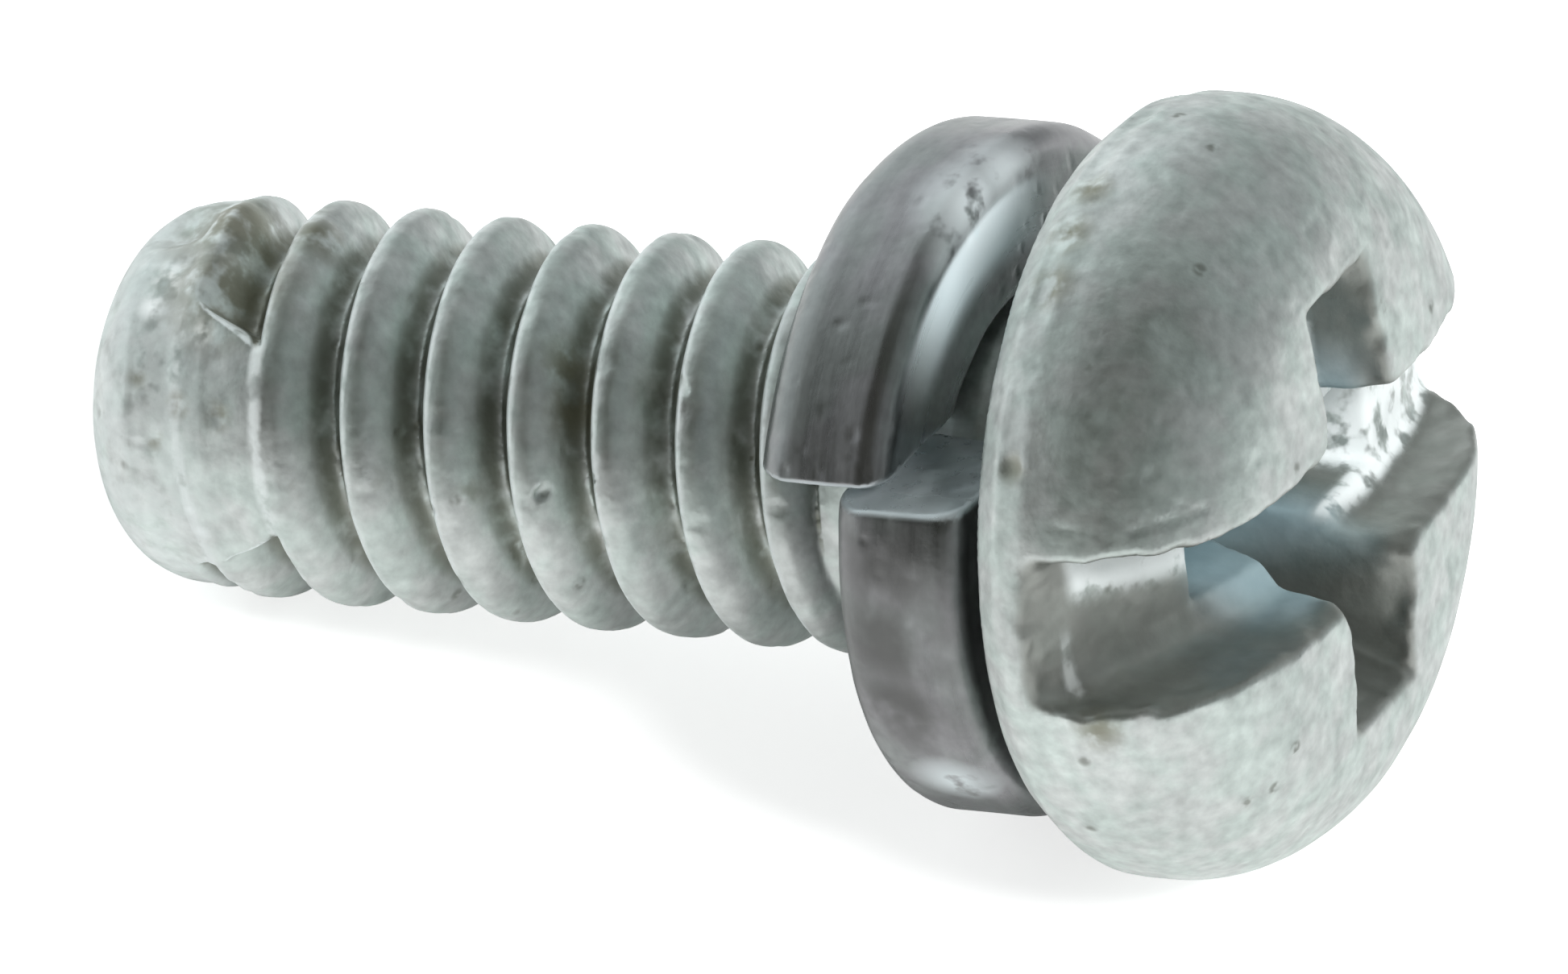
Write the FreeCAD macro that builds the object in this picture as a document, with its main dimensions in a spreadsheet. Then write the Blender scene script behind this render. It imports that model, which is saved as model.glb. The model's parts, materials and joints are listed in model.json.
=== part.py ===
import FreeCAD, Part
import math
import os

import Sketcher
from FreeCAD import Placement, Rotation, Vector

# A short machine screw with a pan head, a combined slot and cross recess, and a captive
# split lock washer. It lies on its side, on the head's belly and on its rounded end.
# Each piece is drawn upright first: the axis is Z, the head's bearing face is at Z = 0,
# the head is above it and the thread below. The rest placement then lays both down.

SIZES = [
    # thread
    ("thread_diameter", 3.505, "over the crests of a 6-32 coarse thread"),
    ("thread_pitch", 0.79375, "32 turns to 25.4 mm"),
    ("thread_depth", 0.45, "crest to root"),
    ("flank_angle", 30, "each flank against the cross-section"),
    ("crest_width", 0.20, "flat on each crest"),
    ("crest_station", 2.29, "bearing face to the first crest, along the resting side"),
    ("screw_length", 9.30, "bearing face to end"),
    # plain neck that carries the washer
    ("neck_diameter", 3.00, "the rolled blank"),
    ("neck_length", 2.16, "bearing face to the run-out"),
    ("neck_chamfer", 0.06, "neck to bearing face"),
    ("run_out", 0.26, "length of the taper from neck to crest"),
    # end
    ("end_diameter", 3.33, "over the plain end"),
    ("end_rounding", 0.75, "radius on the end's edge"),
    ("end_taper", 1.15, "end to the first full crest"),
    ("end_groove", 0.05, "depth left of the groove at the end"),
    ("fade_start", 0.85, "end to where the groove begins to deepen"),
    ("fade_length", 0.40, "over which it reaches its full depth"),
    # head
    ("head_diameter", 6.732, "over the belly"),
    ("head_height", 2.40, "bearing face to crown"),
    ("bearing_diameter", 6.20, "flat under the head"),
    ("belly_height", 0.33, "bearing face to belly"),
    ("shoulder_radius", 1.55, "side to crown"),
    ("crown_radius", 16.6, "top of the head"),
    # drive
    ("drive_angle", -98.4, "slot direction about the axis, in degrees"),
    ("drive_shift_along", 0.15, "recess centre off the axis, along the slot"),
    ("drive_shift_across", 0.12, "recess centre off the axis, across the slot"),
    ("slot_width", 1.40, "wall to wall"),
    ("slot_depth", 0.79, "crown to the highest point of the slot's floor"),
    ("slot_floor_radius", 8.30, "the floor is arched along the slot"),
    ("slot_floor_shift", 0.93, "highest point of the floor, off the recess centre"),
    ("cross_reach", 2.05, "recess centre to the end of a wing, at the crown"),
    ("cross_foot_reach", 1.05, "recess centre to the end of a wing, at the foot"),
    ("cross_width", 1.20, "wing width at the crown"),
    ("cross_foot_width", 0.60, "wing width at the foot"),
    ("cross_depth", 1.85, "crown to foot"),
    ("cross_core_diameter", 2.10, "round middle of the cross, at the crown"),
    # washer
    ("washer_bore", 3.20, "turns freely on the neck"),
    ("washer_diameter", 5.92, "outside"),
    ("washer_thickness", 1.26, "along the axis"),
    ("washer_offset", 0.75, "free travel between its two ends"),
    ("washer_gap", 0.20, "between washer and head"),
    ("washer_bevel", 0.30, "on the outer corners of its section"),
    ("washer_inner_bevel", 0.15, "on the inner corners of its section"),
    ("split_angle", -119.4, "about the axis, where the split meets the outside"),
    ("split_slant", 22, "the cut against the radius, in degrees"),
    ("split_width", 0.12, "between its two ends"),
]

THREAD_R = "sizes.thread_diameter / 2"
ROOT_R = "(sizes.thread_diameter / 2 - sizes.thread_depth)"
NECK_R = "sizes.neck_diameter / 2"
END_R = "sizes.end_diameter / 2"
HEAD_R = "sizes.head_diameter / 2"
THREAD_TOP = "-(sizes.neck_length + sizes.run_out)"
END = "-sizes.screw_length"

# Solids that are fused reach this far into each other, and tools this far past the work.
SINK = 0.1
CLEAR = 0.2


def value(doc, text):
    """The number that an expression on the sheet's cells stands for."""
    result = doc.sizes.evalExpression(text)
    return float(getattr(result, "Value", result))


def bind(thing, **expressions):
    """Tie properties of an object to the sheet."""
    for name, text in expressions.items():
        thing.setExpression(name, str(text))
    return thing


def make_sheet(doc):
    """The driving dimensions, in millimetres and degrees."""
    sheet = doc.addObject("Spreadsheet::Sheet", "sizes")
    for row, (name, number, note) in enumerate(SIZES, start=1):
        sheet.set("A%d" % row, name)
        sheet.set("B%d" % row, "%g" % number)
        sheet.set("C%d" % row, note)
        sheet.setAlias("B%d" % row, name)
    doc.recompute()


def tie(sketch, constraint, label, text):
    """Add a constraint whose value follows the sheet."""
    index = sketch.addConstraint(constraint)
    sketch.renameConstraint(index, label)
    sketch.setExpression("Constraints." + label, text)


def outline(doc, name, corners, arcs=None):
    """A closed sketch in the XZ plane, drawn counter-clockwise.

    corners are pairs of expressions, radius and height. arcs gives the radius of the arc
    that replaces an edge, by the edge's number.
    """
    arcs = arcs or {}
    sketch = doc.addObject("Sketcher::SketchObject", name)
    sketch.Placement = Placement(Vector(0, 0, 0), Rotation(Vector(1, 0, 0), 90))
    points = [Vector(value(doc, across), value(doc, up), 0) for across, up in corners]
    for i, start in enumerate(points):
        finish = points[(i + 1) % len(points)]
        if i not in arcs:
            sketch.addGeometry(Part.LineSegment(start, finish), False)
            continue
        radius = value(doc, arcs[i])
        chord = finish - start
        rise = radius - math.sqrt(radius ** 2 - chord.Length ** 2 / 4)
        outwards = Vector(chord.y, -chord.x, 0).normalize()
        middle = (start + finish) / 2 + outwards * rise
        sketch.addGeometry(Part.Arc(start, middle, finish), False)
    for i, (across, up) in enumerate(corners):
        before = (i - 1) % len(corners)
        sketch.addConstraint(Sketcher.Constraint("Coincident", before, 2, i, 1))
        for kind, text in (("DistanceX", across), ("DistanceY", up)):
            constraint = Sketcher.Constraint(kind, -1, 1, i, 1, value(doc, text))
            tie(sketch, constraint, "%s_%d" % (kind, i), text)
        if i in arcs:
            constraint = Sketcher.Constraint("Radius", i, value(doc, arcs[i]))
            tie(sketch, constraint, "Radius_%d" % i, arcs[i])
    return sketch


def revolve(doc, name, corners, arcs=None):
    """A solid of revolution about Z."""
    solid = doc.addObject("Part::Revolution", name)
    solid.Source = outline(doc, name + "_outline", corners, arcs)
    solid.Axis = Vector(0, 0, 1)
    solid.Base = Vector(0, 0, 0)
    solid.Angle = 360
    solid.Solid = True
    return solid


def helix(doc, name, pitch, turns, radius, hand="Right-handed"):
    """A helix that starts on the X axis and climbs along Z."""
    path = doc.addObject("Part::Helix", name)
    path.Style = "New style"
    path.SegmentLength = 1
    path.LocalCoord = hand
    return bind(path, Pitch=pitch, Height="(%s) * (%s)" % (pitch, turns), Radius=radius)


def sweep(doc, name, section, path):
    """A section carried along all the edges of a helix."""
    doc.recompute()
    solid = doc.addObject("Part::Sweep", name)
    solid.Sections = [section]
    solid.Spine = (path, ["Edge%d" % (i + 1) for i in range(len(path.Shape.Edges))])
    solid.Solid = True
    solid.Frenet = True
    return solid


def cut(doc, name, base, tool):
    """The base without the tool."""
    result = doc.addObject("Part::Cut", name)
    result.Base = base
    result.Tool = tool
    return result


def fuse(doc, name, solids):
    """The solids as one."""
    result = doc.addObject("Part::MultiFuse", name)
    result.Shapes = solids
    return result


def make_thread(doc):
    """The threaded length: a tapered blank with a right-hand vee groove rolled into it."""
    taper = "(%s - %s) / sizes.run_out" % (THREAD_R, NECK_R)
    blank = revolve(doc, "thread_blank", [
        ("0", END),
        ("%s - sizes.end_rounding" % END_R, END),
        (END_R, "%s + sizes.end_rounding" % END),
        (THREAD_R, "%s + sizes.end_taper" % END),
        (THREAD_R, THREAD_TOP),
        ("%s - %g * %s" % (NECK_R, SINK, taper), "-sizes.neck_length + %g" % SINK),
        ("0", "-sizes.neck_length + %g" % SINK),
    ], {1: "sizes.end_rounding"})

    # The groove starts midway between two crests near the end and runs into the neck.
    turns = "(ceil(sizes.screw_length / sizes.thread_pitch) - 3)"
    start = "-(sizes.crest_station + (%s - 0.5) * sizes.thread_pitch)" % turns
    slope = "tan(sizes.flank_angle)"
    mouth = "(sizes.thread_pitch - sizes.crest_width) / 2"
    mouth_out = "%s + %g * %s" % (mouth, SINK, slope)
    root = "%s - sizes.thread_depth * %s" % (mouth, slope)
    vee = outline(doc, "groove_section", [
        (ROOT_R, "-(%s)" % root),
        ("%s + %g" % (THREAD_R, SINK), "-(%s)" % mouth_out),
        ("%s + %g" % (THREAD_R, SINK), mouth_out),
        (ROOT_R, root),
    ])
    path = helix(doc, "groove_path", "sizes.thread_pitch", turns, ROOT_R)
    for thing in (vee, path):
        thing.setExpression("Placement.Base.z", start)
    return cut(doc, "rolled_thread", blank, sweep(doc, "groove", vee, path))


def make_end(doc):
    """What is left of the blank at the end, where the groove is only a faint line."""
    core = "%s - %g" % (ROOT_R, SINK)
    skin = "sizes.end_groove"
    deepens = "%s + sizes.fade_start" % END
    deep = "%s + sizes.fade_start + sizes.fade_length" % END
    return revolve(doc, "plain_end", [
        ("0", "%s + %s" % (END, skin)),
        ("%s - sizes.end_rounding" % END_R, "%s + %s" % (END, skin)),
        ("%s - %s" % (END_R, skin), "%s + sizes.end_rounding" % END),
        ("%s - %s" % (END_R, skin), deepens),
        (core, deep),
        (core, "%s + %g" % (deep, SINK)),
        ("0", "%s + %g" % (deep, SINK)),
    ], {1: "sizes.end_rounding - %s" % skin})


def make_head(doc):
    """The neck and the head: a taper up to the belly, a straight side, shoulder and crown."""
    core = "%s - %g" % (ROOT_R, SINK)
    shoulder_axis = "(%s - sizes.shoulder_radius)" % HEAD_R
    crown_axis = "(sizes.head_height - sizes.crown_radius)"
    reach = "(sizes.crown_radius - sizes.shoulder_radius)"
    rise = "sqrt(%s ^ 2 - %s ^ 2)" % (reach, shoulder_axis)
    share = "sizes.crown_radius / %s" % reach
    return revolve(doc, "head_and_neck", [
        ("0", "%s - %g" % (THREAD_TOP, SINK)),
        (core, "%s - %g" % (THREAD_TOP, SINK)),
        (core, THREAD_TOP),
        (NECK_R, "-(sizes.neck_length + sizes.run_out / 4)"),
        (NECK_R, "-sizes.neck_chamfer"),
        ("%s + sizes.neck_chamfer" % NECK_R, "0"),
        ("sizes.bearing_diameter / 2", "0"),
        (HEAD_R, "sizes.belly_height"),
        (HEAD_R, "%s + %s" % (crown_axis, rise)),
        ("%s * %s" % (shoulder_axis, share), "%s + %s * %s" % (crown_axis, rise, share)),
        ("0", "sizes.head_height"),
    ], {8: "sizes.shoulder_radius", 9: "sizes.crown_radius"})


def make_slot(doc):
    """The slot's tool: right across the head, above an arched floor. The slot lies along X."""
    block = doc.addObject("Part::Box", "slot_block")
    bind(block, Length="2 * (%s + sizes.drive_shift_along + %g)" % (HEAD_R, CLEAR),
         Width="sizes.slot_width", Height="sizes.head_height")
    block.setExpression("Placement.Base.x", "-Length / 2")
    block.setExpression("Placement.Base.y", "-Width / 2")
    block.setExpression("Placement.Base.z", "sizes.belly_height / 2")
    floor = doc.addObject("Part::Cylinder", "slot_floor")
    floor.Placement = Placement(Vector(0, 0, 0), Rotation(Vector(1, 0, 0), 90))
    bind(floor, Radius="sizes.slot_floor_radius", Height="2 * sizes.slot_width")
    floor.setExpression("Placement.Base.x", "-sizes.slot_floor_shift")
    floor.setExpression("Placement.Base.y", "Height / 2")
    floor.setExpression("Placement.Base.z",
                        "sizes.head_height - sizes.slot_depth - sizes.slot_floor_radius")
    return cut(doc, "slot_tool", block, floor)


def make_wings(doc, name, turn):
    """A pair of wings of the cross: a blade that narrows towards its foot."""
    blade = doc.addObject("Part::Wedge", name)
    blade.Placement = Placement(Vector(0, 0, 0), Rotation(turn, 0, 90))
    past = "(sizes.cross_depth + %g) / sizes.cross_depth" % CLEAR
    foot = "sizes.cross_foot_width / 2"
    reach = "(sizes.cross_foot_reach + (sizes.cross_reach - sizes.cross_foot_reach) * %s)" % past
    half = "(%s + (sizes.cross_width / 2 - %s) * %s)" % (foot, foot, past)
    bind(blade, Ymin=0, Ymax="sizes.cross_depth + %g" % CLEAR,
         Xmin="-sizes.cross_foot_reach", Xmax="sizes.cross_foot_reach",
         X2min="-%s" % reach, X2max=reach,
         Zmin="-%s" % foot, Zmax=foot, Z2min="-%s" % half, Z2max=half)
    blade.setExpression("Placement.Base.z", "sizes.head_height - sizes.cross_depth")
    return blade


def make_middle(doc):
    """The round middle of the cross, narrowing towards its foot."""
    middle = doc.addObject("Part::Cone", "cross_middle")
    past = "(sizes.cross_depth + %g) / sizes.cross_depth" % CLEAR
    foot = "sizes.cross_foot_width / 2"
    wide = "%s + (sizes.cross_core_diameter / 2 - %s) * %s" % (foot, foot, past)
    bind(middle, Radius1=foot, Radius2=wide, Height="sizes.cross_depth + %g" % CLEAR)
    middle.setExpression("Placement.Base.z", "sizes.head_height - sizes.cross_depth")
    return middle


def make_recess(doc):
    """The combined slot and cross, turned and shifted to where it was pressed in."""
    wings = [make_wings(doc, "wings_along", 0), make_wings(doc, "wings_across", 90)]
    recess = fuse(doc, "recess", [make_slot(doc), make_middle(doc)] + wings)
    angle = "sizes.drive_angle"
    shift = ("sizes.drive_shift_along", "sizes.drive_shift_across")
    recess.setExpression("Placement.Rotation.Angle", angle)
    recess.setExpression("Placement.Base.x",
                         "%s * cos(%s) + %s * sin(%s)" % (shift[0], angle, shift[1], angle))
    recess.setExpression("Placement.Base.y",
                         "%s * sin(%s) - %s * cos(%s)" % (shift[0], angle, shift[1], angle))
    return recess


def make_screw(doc):
    """The screw, one piece: rolled thread, plain end, neck and head, less the recess."""
    body = fuse(doc, "screw_body", [make_thread(doc), make_end(doc), make_head(doc)])
    return cut(doc, "screw", body, make_recess(doc))


def make_coil(doc, name, start, turn):
    """A stretch of the washer's coil. start and turn are angles counted from the split.

    The washer is coiled left-handed, so it climbs towards the head as it turns clockwise.
    """
    bevel, inner_bevel = "sizes.washer_bevel", "sizes.washer_inner_bevel"
    inner, outer = "sizes.washer_bore / 2", "sizes.washer_diameter / 2"
    top = "sizes.washer_thickness"
    section = outline(doc, name + "_section", [
        ("%s + %s" % (inner, inner_bevel), "0"),
        ("%s - %s" % (outer, bevel), "0"),
        (outer, bevel),
        (outer, "%s - %s" % (top, bevel)),
        ("%s - %s" % (outer, bevel), top),
        ("%s + %s" % (inner, inner_bevel), top),
        (inner, "%s - %s" % (top, inner_bevel)),
        (inner, inner_bevel),
    ])
    path = helix(doc, name + "_path", "sizes.washer_offset", "%s / 360" % turn, inner, "Left-handed")
    coil = sweep(doc, name, section, path)
    climb = "sizes.washer_offset * (%s / 360 - 1)" % start
    coil.setExpression("Placement.Rotation.Angle", "sizes.split_angle - (%s)" % start)
    coil.setExpression("Placement.Base.z", "%s - sizes.washer_gap - %s" % (climb, top))
    return coil


def make_cutter(doc, name, offset):
    """A box along the split's plane, from the outside to near the axis, moved by offset."""
    cutter = doc.addObject("Part::Box", name)
    bind(cutter, Length="sizes.washer_diameter", Width="sizes.washer_diameter",
         Height="4 * (sizes.washer_thickness + sizes.washer_offset)")
    outer, at = "sizes.washer_diameter / 2", "sizes.split_angle"
    angle = "(sizes.split_angle + sizes.split_slant)"
    inwards = "0.8 * %s" % outer
    cutter.setExpression("Placement.Rotation.Angle", angle)
    cutter.setExpression("Placement.Base.x", "%s * cos(%s) - %s * cos(%s) - (%s) * sin(%s)"
                         % (outer, at, inwards, angle, offset, angle))
    cutter.setExpression("Placement.Base.y", "%s * sin(%s) - %s * sin(%s) + (%s) * cos(%s)"
                         % (outer, at, inwards, angle, offset, angle))
    cutter.setExpression("Placement.Base.z", "-Height / 2")
    return cutter


def make_lock_washer(doc):
    """A split ring with its two ends set apart along the axis, coiled in two halves."""
    lead, rest = 6, 35
    below = cut(doc, "end_below", make_coil(doc, "coil_below", -lead, 180 + lead),
                make_cutter(doc, "cutter_below", "0"))
    above = cut(doc, "end_above", make_coil(doc, "coil_above", 180, 180 + rest),
                make_cutter(doc, "cutter_above", "sizes.split_width - sizes.washer_diameter"))
    return fuse(doc, "lock_washer", [below, above])


def lay_down(doc, pieces):
    """Tilt the pieces until belly and end both touch the floor, and centre them on it."""
    up = "(%s - %s + sizes.end_rounding)" % (HEAD_R, END_R)
    along = "(sizes.screw_length - sizes.end_rounding + sizes.belly_height)"
    tilt = "(acos(sizes.end_rounding / hypot(%s; %s)) - atan2(%s; %s))" % (up, along, along, up)
    for piece in pieces:
        piece.Placement = Placement(Vector(0, 0, 0), Rotation(Vector(0, 1, 0), 90))
        piece.setExpression("Placement.Rotation.Angle", "90 deg - " + tilt)
    doc.recompute()
    extent = FreeCAD.BoundBox()
    for piece in pieces:
        extent.add(piece.Shape.optimalBoundingBox(False))
    rest = Vector(-extent.Center.x, -extent.Center.y, -extent.ZMin)
    for piece in pieces:
        piece.Placement = Placement(rest, piece.Placement.Rotation)
    doc.recompute()


def check(doc, pieces):
    """Stop if anything failed to build."""
    for thing in doc.Objects:
        if {"Invalid", "Error"} & set(thing.State):
            raise RuntimeError("%s is %s" % (thing.Name, thing.State))
    for piece in pieces:
        if piece.Shape.isNull() or not piece.Shape.isValid() or len(piece.Shape.Solids) != 1:
            raise RuntimeError("%s is not one valid solid" % piece.Name)


def main():
    doc = FreeCAD.newDocument("machine_screw")
    make_sheet(doc)
    pieces = [make_screw(doc), make_lock_washer(doc)]
    lay_down(doc, pieces)
    check(doc, pieces)
    os.makedirs("parts", exist_ok=True)
    for piece in pieces:
        piece.Label = piece.Name
        piece.Shape.exportStep("parts/%s.step" % piece.Label)
        print(piece.Label, "volume %.3f mm3" % piece.Shape.Volume, piece.Placement)


main()
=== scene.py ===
import json
import math

import bpy
import numpy as np
import openvdb
from mathutils import Matrix, Vector


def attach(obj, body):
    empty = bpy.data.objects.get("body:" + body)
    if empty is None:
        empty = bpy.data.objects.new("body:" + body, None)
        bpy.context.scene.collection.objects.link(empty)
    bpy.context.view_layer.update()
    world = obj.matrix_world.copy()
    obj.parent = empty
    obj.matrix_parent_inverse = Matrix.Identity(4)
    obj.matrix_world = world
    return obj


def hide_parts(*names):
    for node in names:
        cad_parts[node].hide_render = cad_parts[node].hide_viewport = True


# A zinc-plated machine screw with a captive split lock washer, lying on a white floor.
# Lengths here are in millimetres until a mesh is written, which is in metres.
# Shapes are given about the screw's own axis: Z runs from the end to the head, and the
# head's bearing face is at Z = 0. Every shape is a function that is negative inside.
# A station is a place along the axis. A corner is how widely two faces are blended.

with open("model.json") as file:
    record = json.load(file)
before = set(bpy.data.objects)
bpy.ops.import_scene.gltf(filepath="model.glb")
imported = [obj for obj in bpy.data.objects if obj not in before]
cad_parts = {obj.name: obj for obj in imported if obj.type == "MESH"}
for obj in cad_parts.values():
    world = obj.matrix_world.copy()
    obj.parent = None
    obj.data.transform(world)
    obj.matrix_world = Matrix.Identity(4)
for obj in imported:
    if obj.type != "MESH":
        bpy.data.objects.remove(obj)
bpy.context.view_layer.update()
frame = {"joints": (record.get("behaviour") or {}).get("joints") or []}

MM = 0.001

# thread
THREAD_R = 1.7525
PITCH = 0.79375
THREAD_DEPTH = 0.45
ROOT_R = THREAD_R - THREAD_DEPTH
FLANK = math.radians(30)
LEAD_FLANK = math.radians(26)
CREST_WIDTH = 0.20
CREST_STATION = 2.29
CREST_LEAD_CORNER = 0.07
CREST_TRAIL_CORNER = 0.24
ROOT_CORNER = 0.16
CREST_WORN = 0.010
CREST_WAVES = 0.012
NICK_DEPTH = 0.022
# neck, and how far the shank reaches into the head
NECK_R = 1.50
NECK_LENGTH = 2.16
RUN_OUT = 0.26
RUN_OUT_FALL = 3
CONE_REACH = 8
NECK_CORNER = 0.05
SHANK_TOP = 0.20
# end
END = -9.30
END_R = 1.665
END_ROUNDING = 0.75
END_CORNER = 0.06
END_TAPER = 1.15
END_GROOVE = 0.012
FADE_START = 0.90
FADE_LENGTH = 0.45
FADE_FALL = 1.4
BLANK_CORNER = 0.04
FILL_CORNER = 0.14
# on one side of the end the blank stayed smooth further up
SMOOTH_SIDE = math.radians(-109)
SMOOTH_WINDOW = (0.66, 0.92)
SMOOTH_TAPER = 0.65
SMOOTH_FADE = 0.95
# head
HEAD_R = 3.366
HEAD_HEIGHT = 2.40
BEARING_R = 3.10
BEARING_CORNER = 0.04
BELLY = 0.33
BELLY_CORNER = 0.10
SHOULDER = 1.55
CROWN = 16.6
CREASE_STATION = 0.40
CREASE_WIDTH = 0.13
CREASE_DEPTH = 0.035
# drive
DRIVE_ANGLE = math.radians(-98.4)
DRIVE_ALONG = 0.15
DRIVE_ACROSS = 0.12
SLOT_WIDTH = 1.40
SLOT_DEPTH = 0.79
SLOT_FLOOR = 8.30
SLOT_FLOOR_SHIFT = 0.93
SLOT_CORNER = 0.16
FLOOR_SWEEP = 0.20
RIDGE_STATION = 2.80
RIDGE_HALF = 0.08
CROSS_REACH = 2.05
CROSS_FOOT_REACH = 1.05
CROSS_WIDTH = 1.20
CROSS_FOOT_WIDTH = 0.60
CROSS_DEPTH = 1.85
CROSS_CORE_R = 1.05
WING_CORNER = 0.08
FOOT_CORNER = 0.10
DRIVE_CORNER = 0.06
RIM_CORNER = 0.09
RAGGED_WAVES = 0.030
RAGGED_GRIT = 0.035
# washer
BORE_R = 1.60
WASHER_R = 2.96
THICKNESS = 1.26
OFFSET = 0.75
GAP = 0.20
UPPER_CORNER = 0.26
LOWER_CORNER = 0.38
BORE_CORNER = 0.16
SPLIT_ANGLE = math.radians(-119.4)
SPLIT_SLANT = math.radians(22)
SPLIT_WIDTH = 0.12
SPLIT_CORNER = 0.06
SPLIT_ROUGH = 0.015
SPLIT_REACH = 1.0
# plating
BROAD_WAVES = 0.008
NARROW_WAVES = 0.004
PIT_DEPTH = 0.009

# The joint gives the axis and a point on it, this far from the bearing face.
JOINT_STATION = -1.20
joint = frame["joints"][0]
AXIS_Z = np.array(joint["axis"]) / np.linalg.norm(joint["axis"])
AXIS_Y = np.array([0.0, 1.0, 0.0])
AXIS_X = np.cross(AXIS_Y, AXIS_Z)
ORIGIN = np.array(joint["pos_m"]) / MM - JOINT_STATION * AXIS_Z


def to_world(points):
    """Points about the screw's axis, in the frame's own place. Both in millimetres."""
    return ORIGIN + points @ np.array([AXIS_X, AXIS_Y, AXIS_Z])


def blend_min(a, b, width):
    """The smaller of two fields, with the corner between them rounded."""
    share = np.clip(0.5 + 0.5 * (b - a) / width, 0, 1)
    return b + (a - b) * share - width * share * (1 - share)


def blend_max(a, b, width):
    """The larger of two fields, with the corner between them rounded."""
    return -blend_min(-a, -b, width)


def smooth_step(value, low, high):
    """Goes from 0 at low to 1 at high, evenly rounded."""
    share = np.clip((value - low) / (high - low), 0, 1)
    return share * share * (3 - 2 * share)


class Noise:
    """Smooth random values between -1 and 1, the same on every run."""

    START = 100.37

    def __init__(self, seed, cells=32):
        self.cells = cells
        self.grid = np.random.default_rng(seed).uniform(-1, 1, cells ** 3).astype(np.float32)

    def __call__(self, x, y, z, size):
        cell, part = [], []
        for value in (x, y, z):
            place = (value / size + self.START).astype(np.float32)
            floor = np.floor(place)
            cell.append(floor.astype(np.int32))
            rest = place - floor
            part.append(rest * rest * (3 - 2 * rest))
        total = 0.0
        for corner in range(8):
            index, weight = 0, 1.0
            for i in range(3):
                step = (corner >> i) & 1
                index = index * self.cells + (cell[i] + step) % self.cells
                weight = weight * (part[i] if step else 1 - part[i])
            total = total + weight * np.take(self.grid, index)
        return total


lumps = Noise(3)
grit = Noise(5)


def on_screw(station, angle, radius):
    """A point given by its station along the axis, its angle in degrees and its radius."""
    turn = math.radians(angle)
    return np.array([radius * math.cos(turn), radius * math.sin(turn), station])


def dents(x, y, z, places):
    """How far the surface is pressed in by round dents: centre, radius and depth of each."""
    depth = 0.0
    for centre, radius, deep in places:
        away = ((x - centre[0]) ** 2 + (y - centre[1]) ** 2 + (z - centre[2]) ** 2) / radius ** 2
        depth = depth + deep * np.clip(1 - away, 0, 1) ** 2
    return depth


def scratches(x, y, z, places):
    """How far the surface is pressed in by scratches: both ends, width and depth of each."""
    depth = 0.0
    for start, finish, width, deep in places:
        along = finish - start
        share = ((x - start[0]) * along[0] + (y - start[1]) * along[1]
                 + (z - start[2]) * along[2]) / (along @ along)
        share = np.clip(share, 0, 1)
        away = (x - start[0] - share * along[0]) ** 2 + (y - start[1] - share * along[1]) ** 2
        away = (away + (z - start[2] - share * along[2]) ** 2) / width ** 2
        depth = depth + deep * np.clip(1 - away, 0, 1)
    return depth


def wear(x, y, z):
    """Uneven plating and small pits. Always inwards."""
    waves = BROAD_WAVES * (1 + lumps(x, y, z, 0.75)) + NARROW_WAVES * (1 + lumps(y, z, x, 0.27))
    return waves + PIT_DEPTH * smooth_step(grit(x, y, z, 0.15), 0.50, 0.95)


# The last two are bulges: the first thread stands a little higher than the others there.
SHANK_DENTS = [
    (on_screw(-7.88, -158, 1.70), 0.34, 0.10),
    (on_screw(-8.74, 176, 1.64), 0.40, 0.17),
    (on_screw(-8.42, -168, 1.64), 0.18, 0.03),
    (on_screw(-8.44, -110, 1.62), 0.15, 0.012),
    (on_screw(-8.20, -121, 1.68), 0.13, 0.012),
    (on_screw(-7.80, -119, 1.68), 0.14, 0.015),
    (on_screw(-8.62, -128, 1.60), 0.12, 0.012),
    (on_screw(-8.08, 172, 1.72), 0.46, -0.09),
    (on_screw(-7.30, 176, 1.72), 0.40, -0.03),
]
SHANK_SCRATCHES = [
    (on_screw(-4.79, -104.5, 1.62), on_screw(-4.25, -111, 1.66), 0.07, 0.06),
    (on_screw(-5.95, -88, 1.70), on_screw(-5.80, -97, 1.70), 0.05, 0.04),
    (on_screw(-3.60, -146, 1.72), on_screw(-3.45, -139, 1.72), 0.05, 0.04),
]


def from_crest(x, y, z):
    """How far along the axis the nearest crest of the thread is, negative towards the end.

    It changes from one turn to the next where both flanks are equally deep.
    """
    gap = (PITCH - CREST_WIDTH) / 2
    trail_slope, lead_slope = math.tan(FLANK), math.tan(LEAD_FLANK)
    shift = gap * (trail_slope - lead_slope) / (trail_slope + lead_slope)
    unrolled = z + CREST_STATION - np.arctan2(y, x) / (2 * math.pi) * PITCH
    return np.mod(unrolled + PITCH / 2 - shift, PITCH) - PITCH / 2 + shift


def thread_radius(x, y, z):
    """How far out the thread's surface lies, with small nicks in its crest."""
    off_crest = from_crest(x, y, z)
    nick = NICK_DEPTH * smooth_step(grit(x, y, z, 0.22), 0.30, 0.90)
    crest = THREAD_R - CREST_WORN - CREST_WAVES * lumps(x, y, z, 0.7) - nick
    lead = THREAD_R + (off_crest + CREST_WIDTH / 2) / math.tan(LEAD_FLANK)
    trail = THREAD_R - (off_crest - CREST_WIDTH / 2) / math.tan(FLANK)
    thread = blend_min(blend_min(crest, trail, CREST_TRAIL_CORNER), lead, CREST_LEAD_CORNER)
    return blend_max(thread, ROOT_R, ROOT_CORNER)


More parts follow.
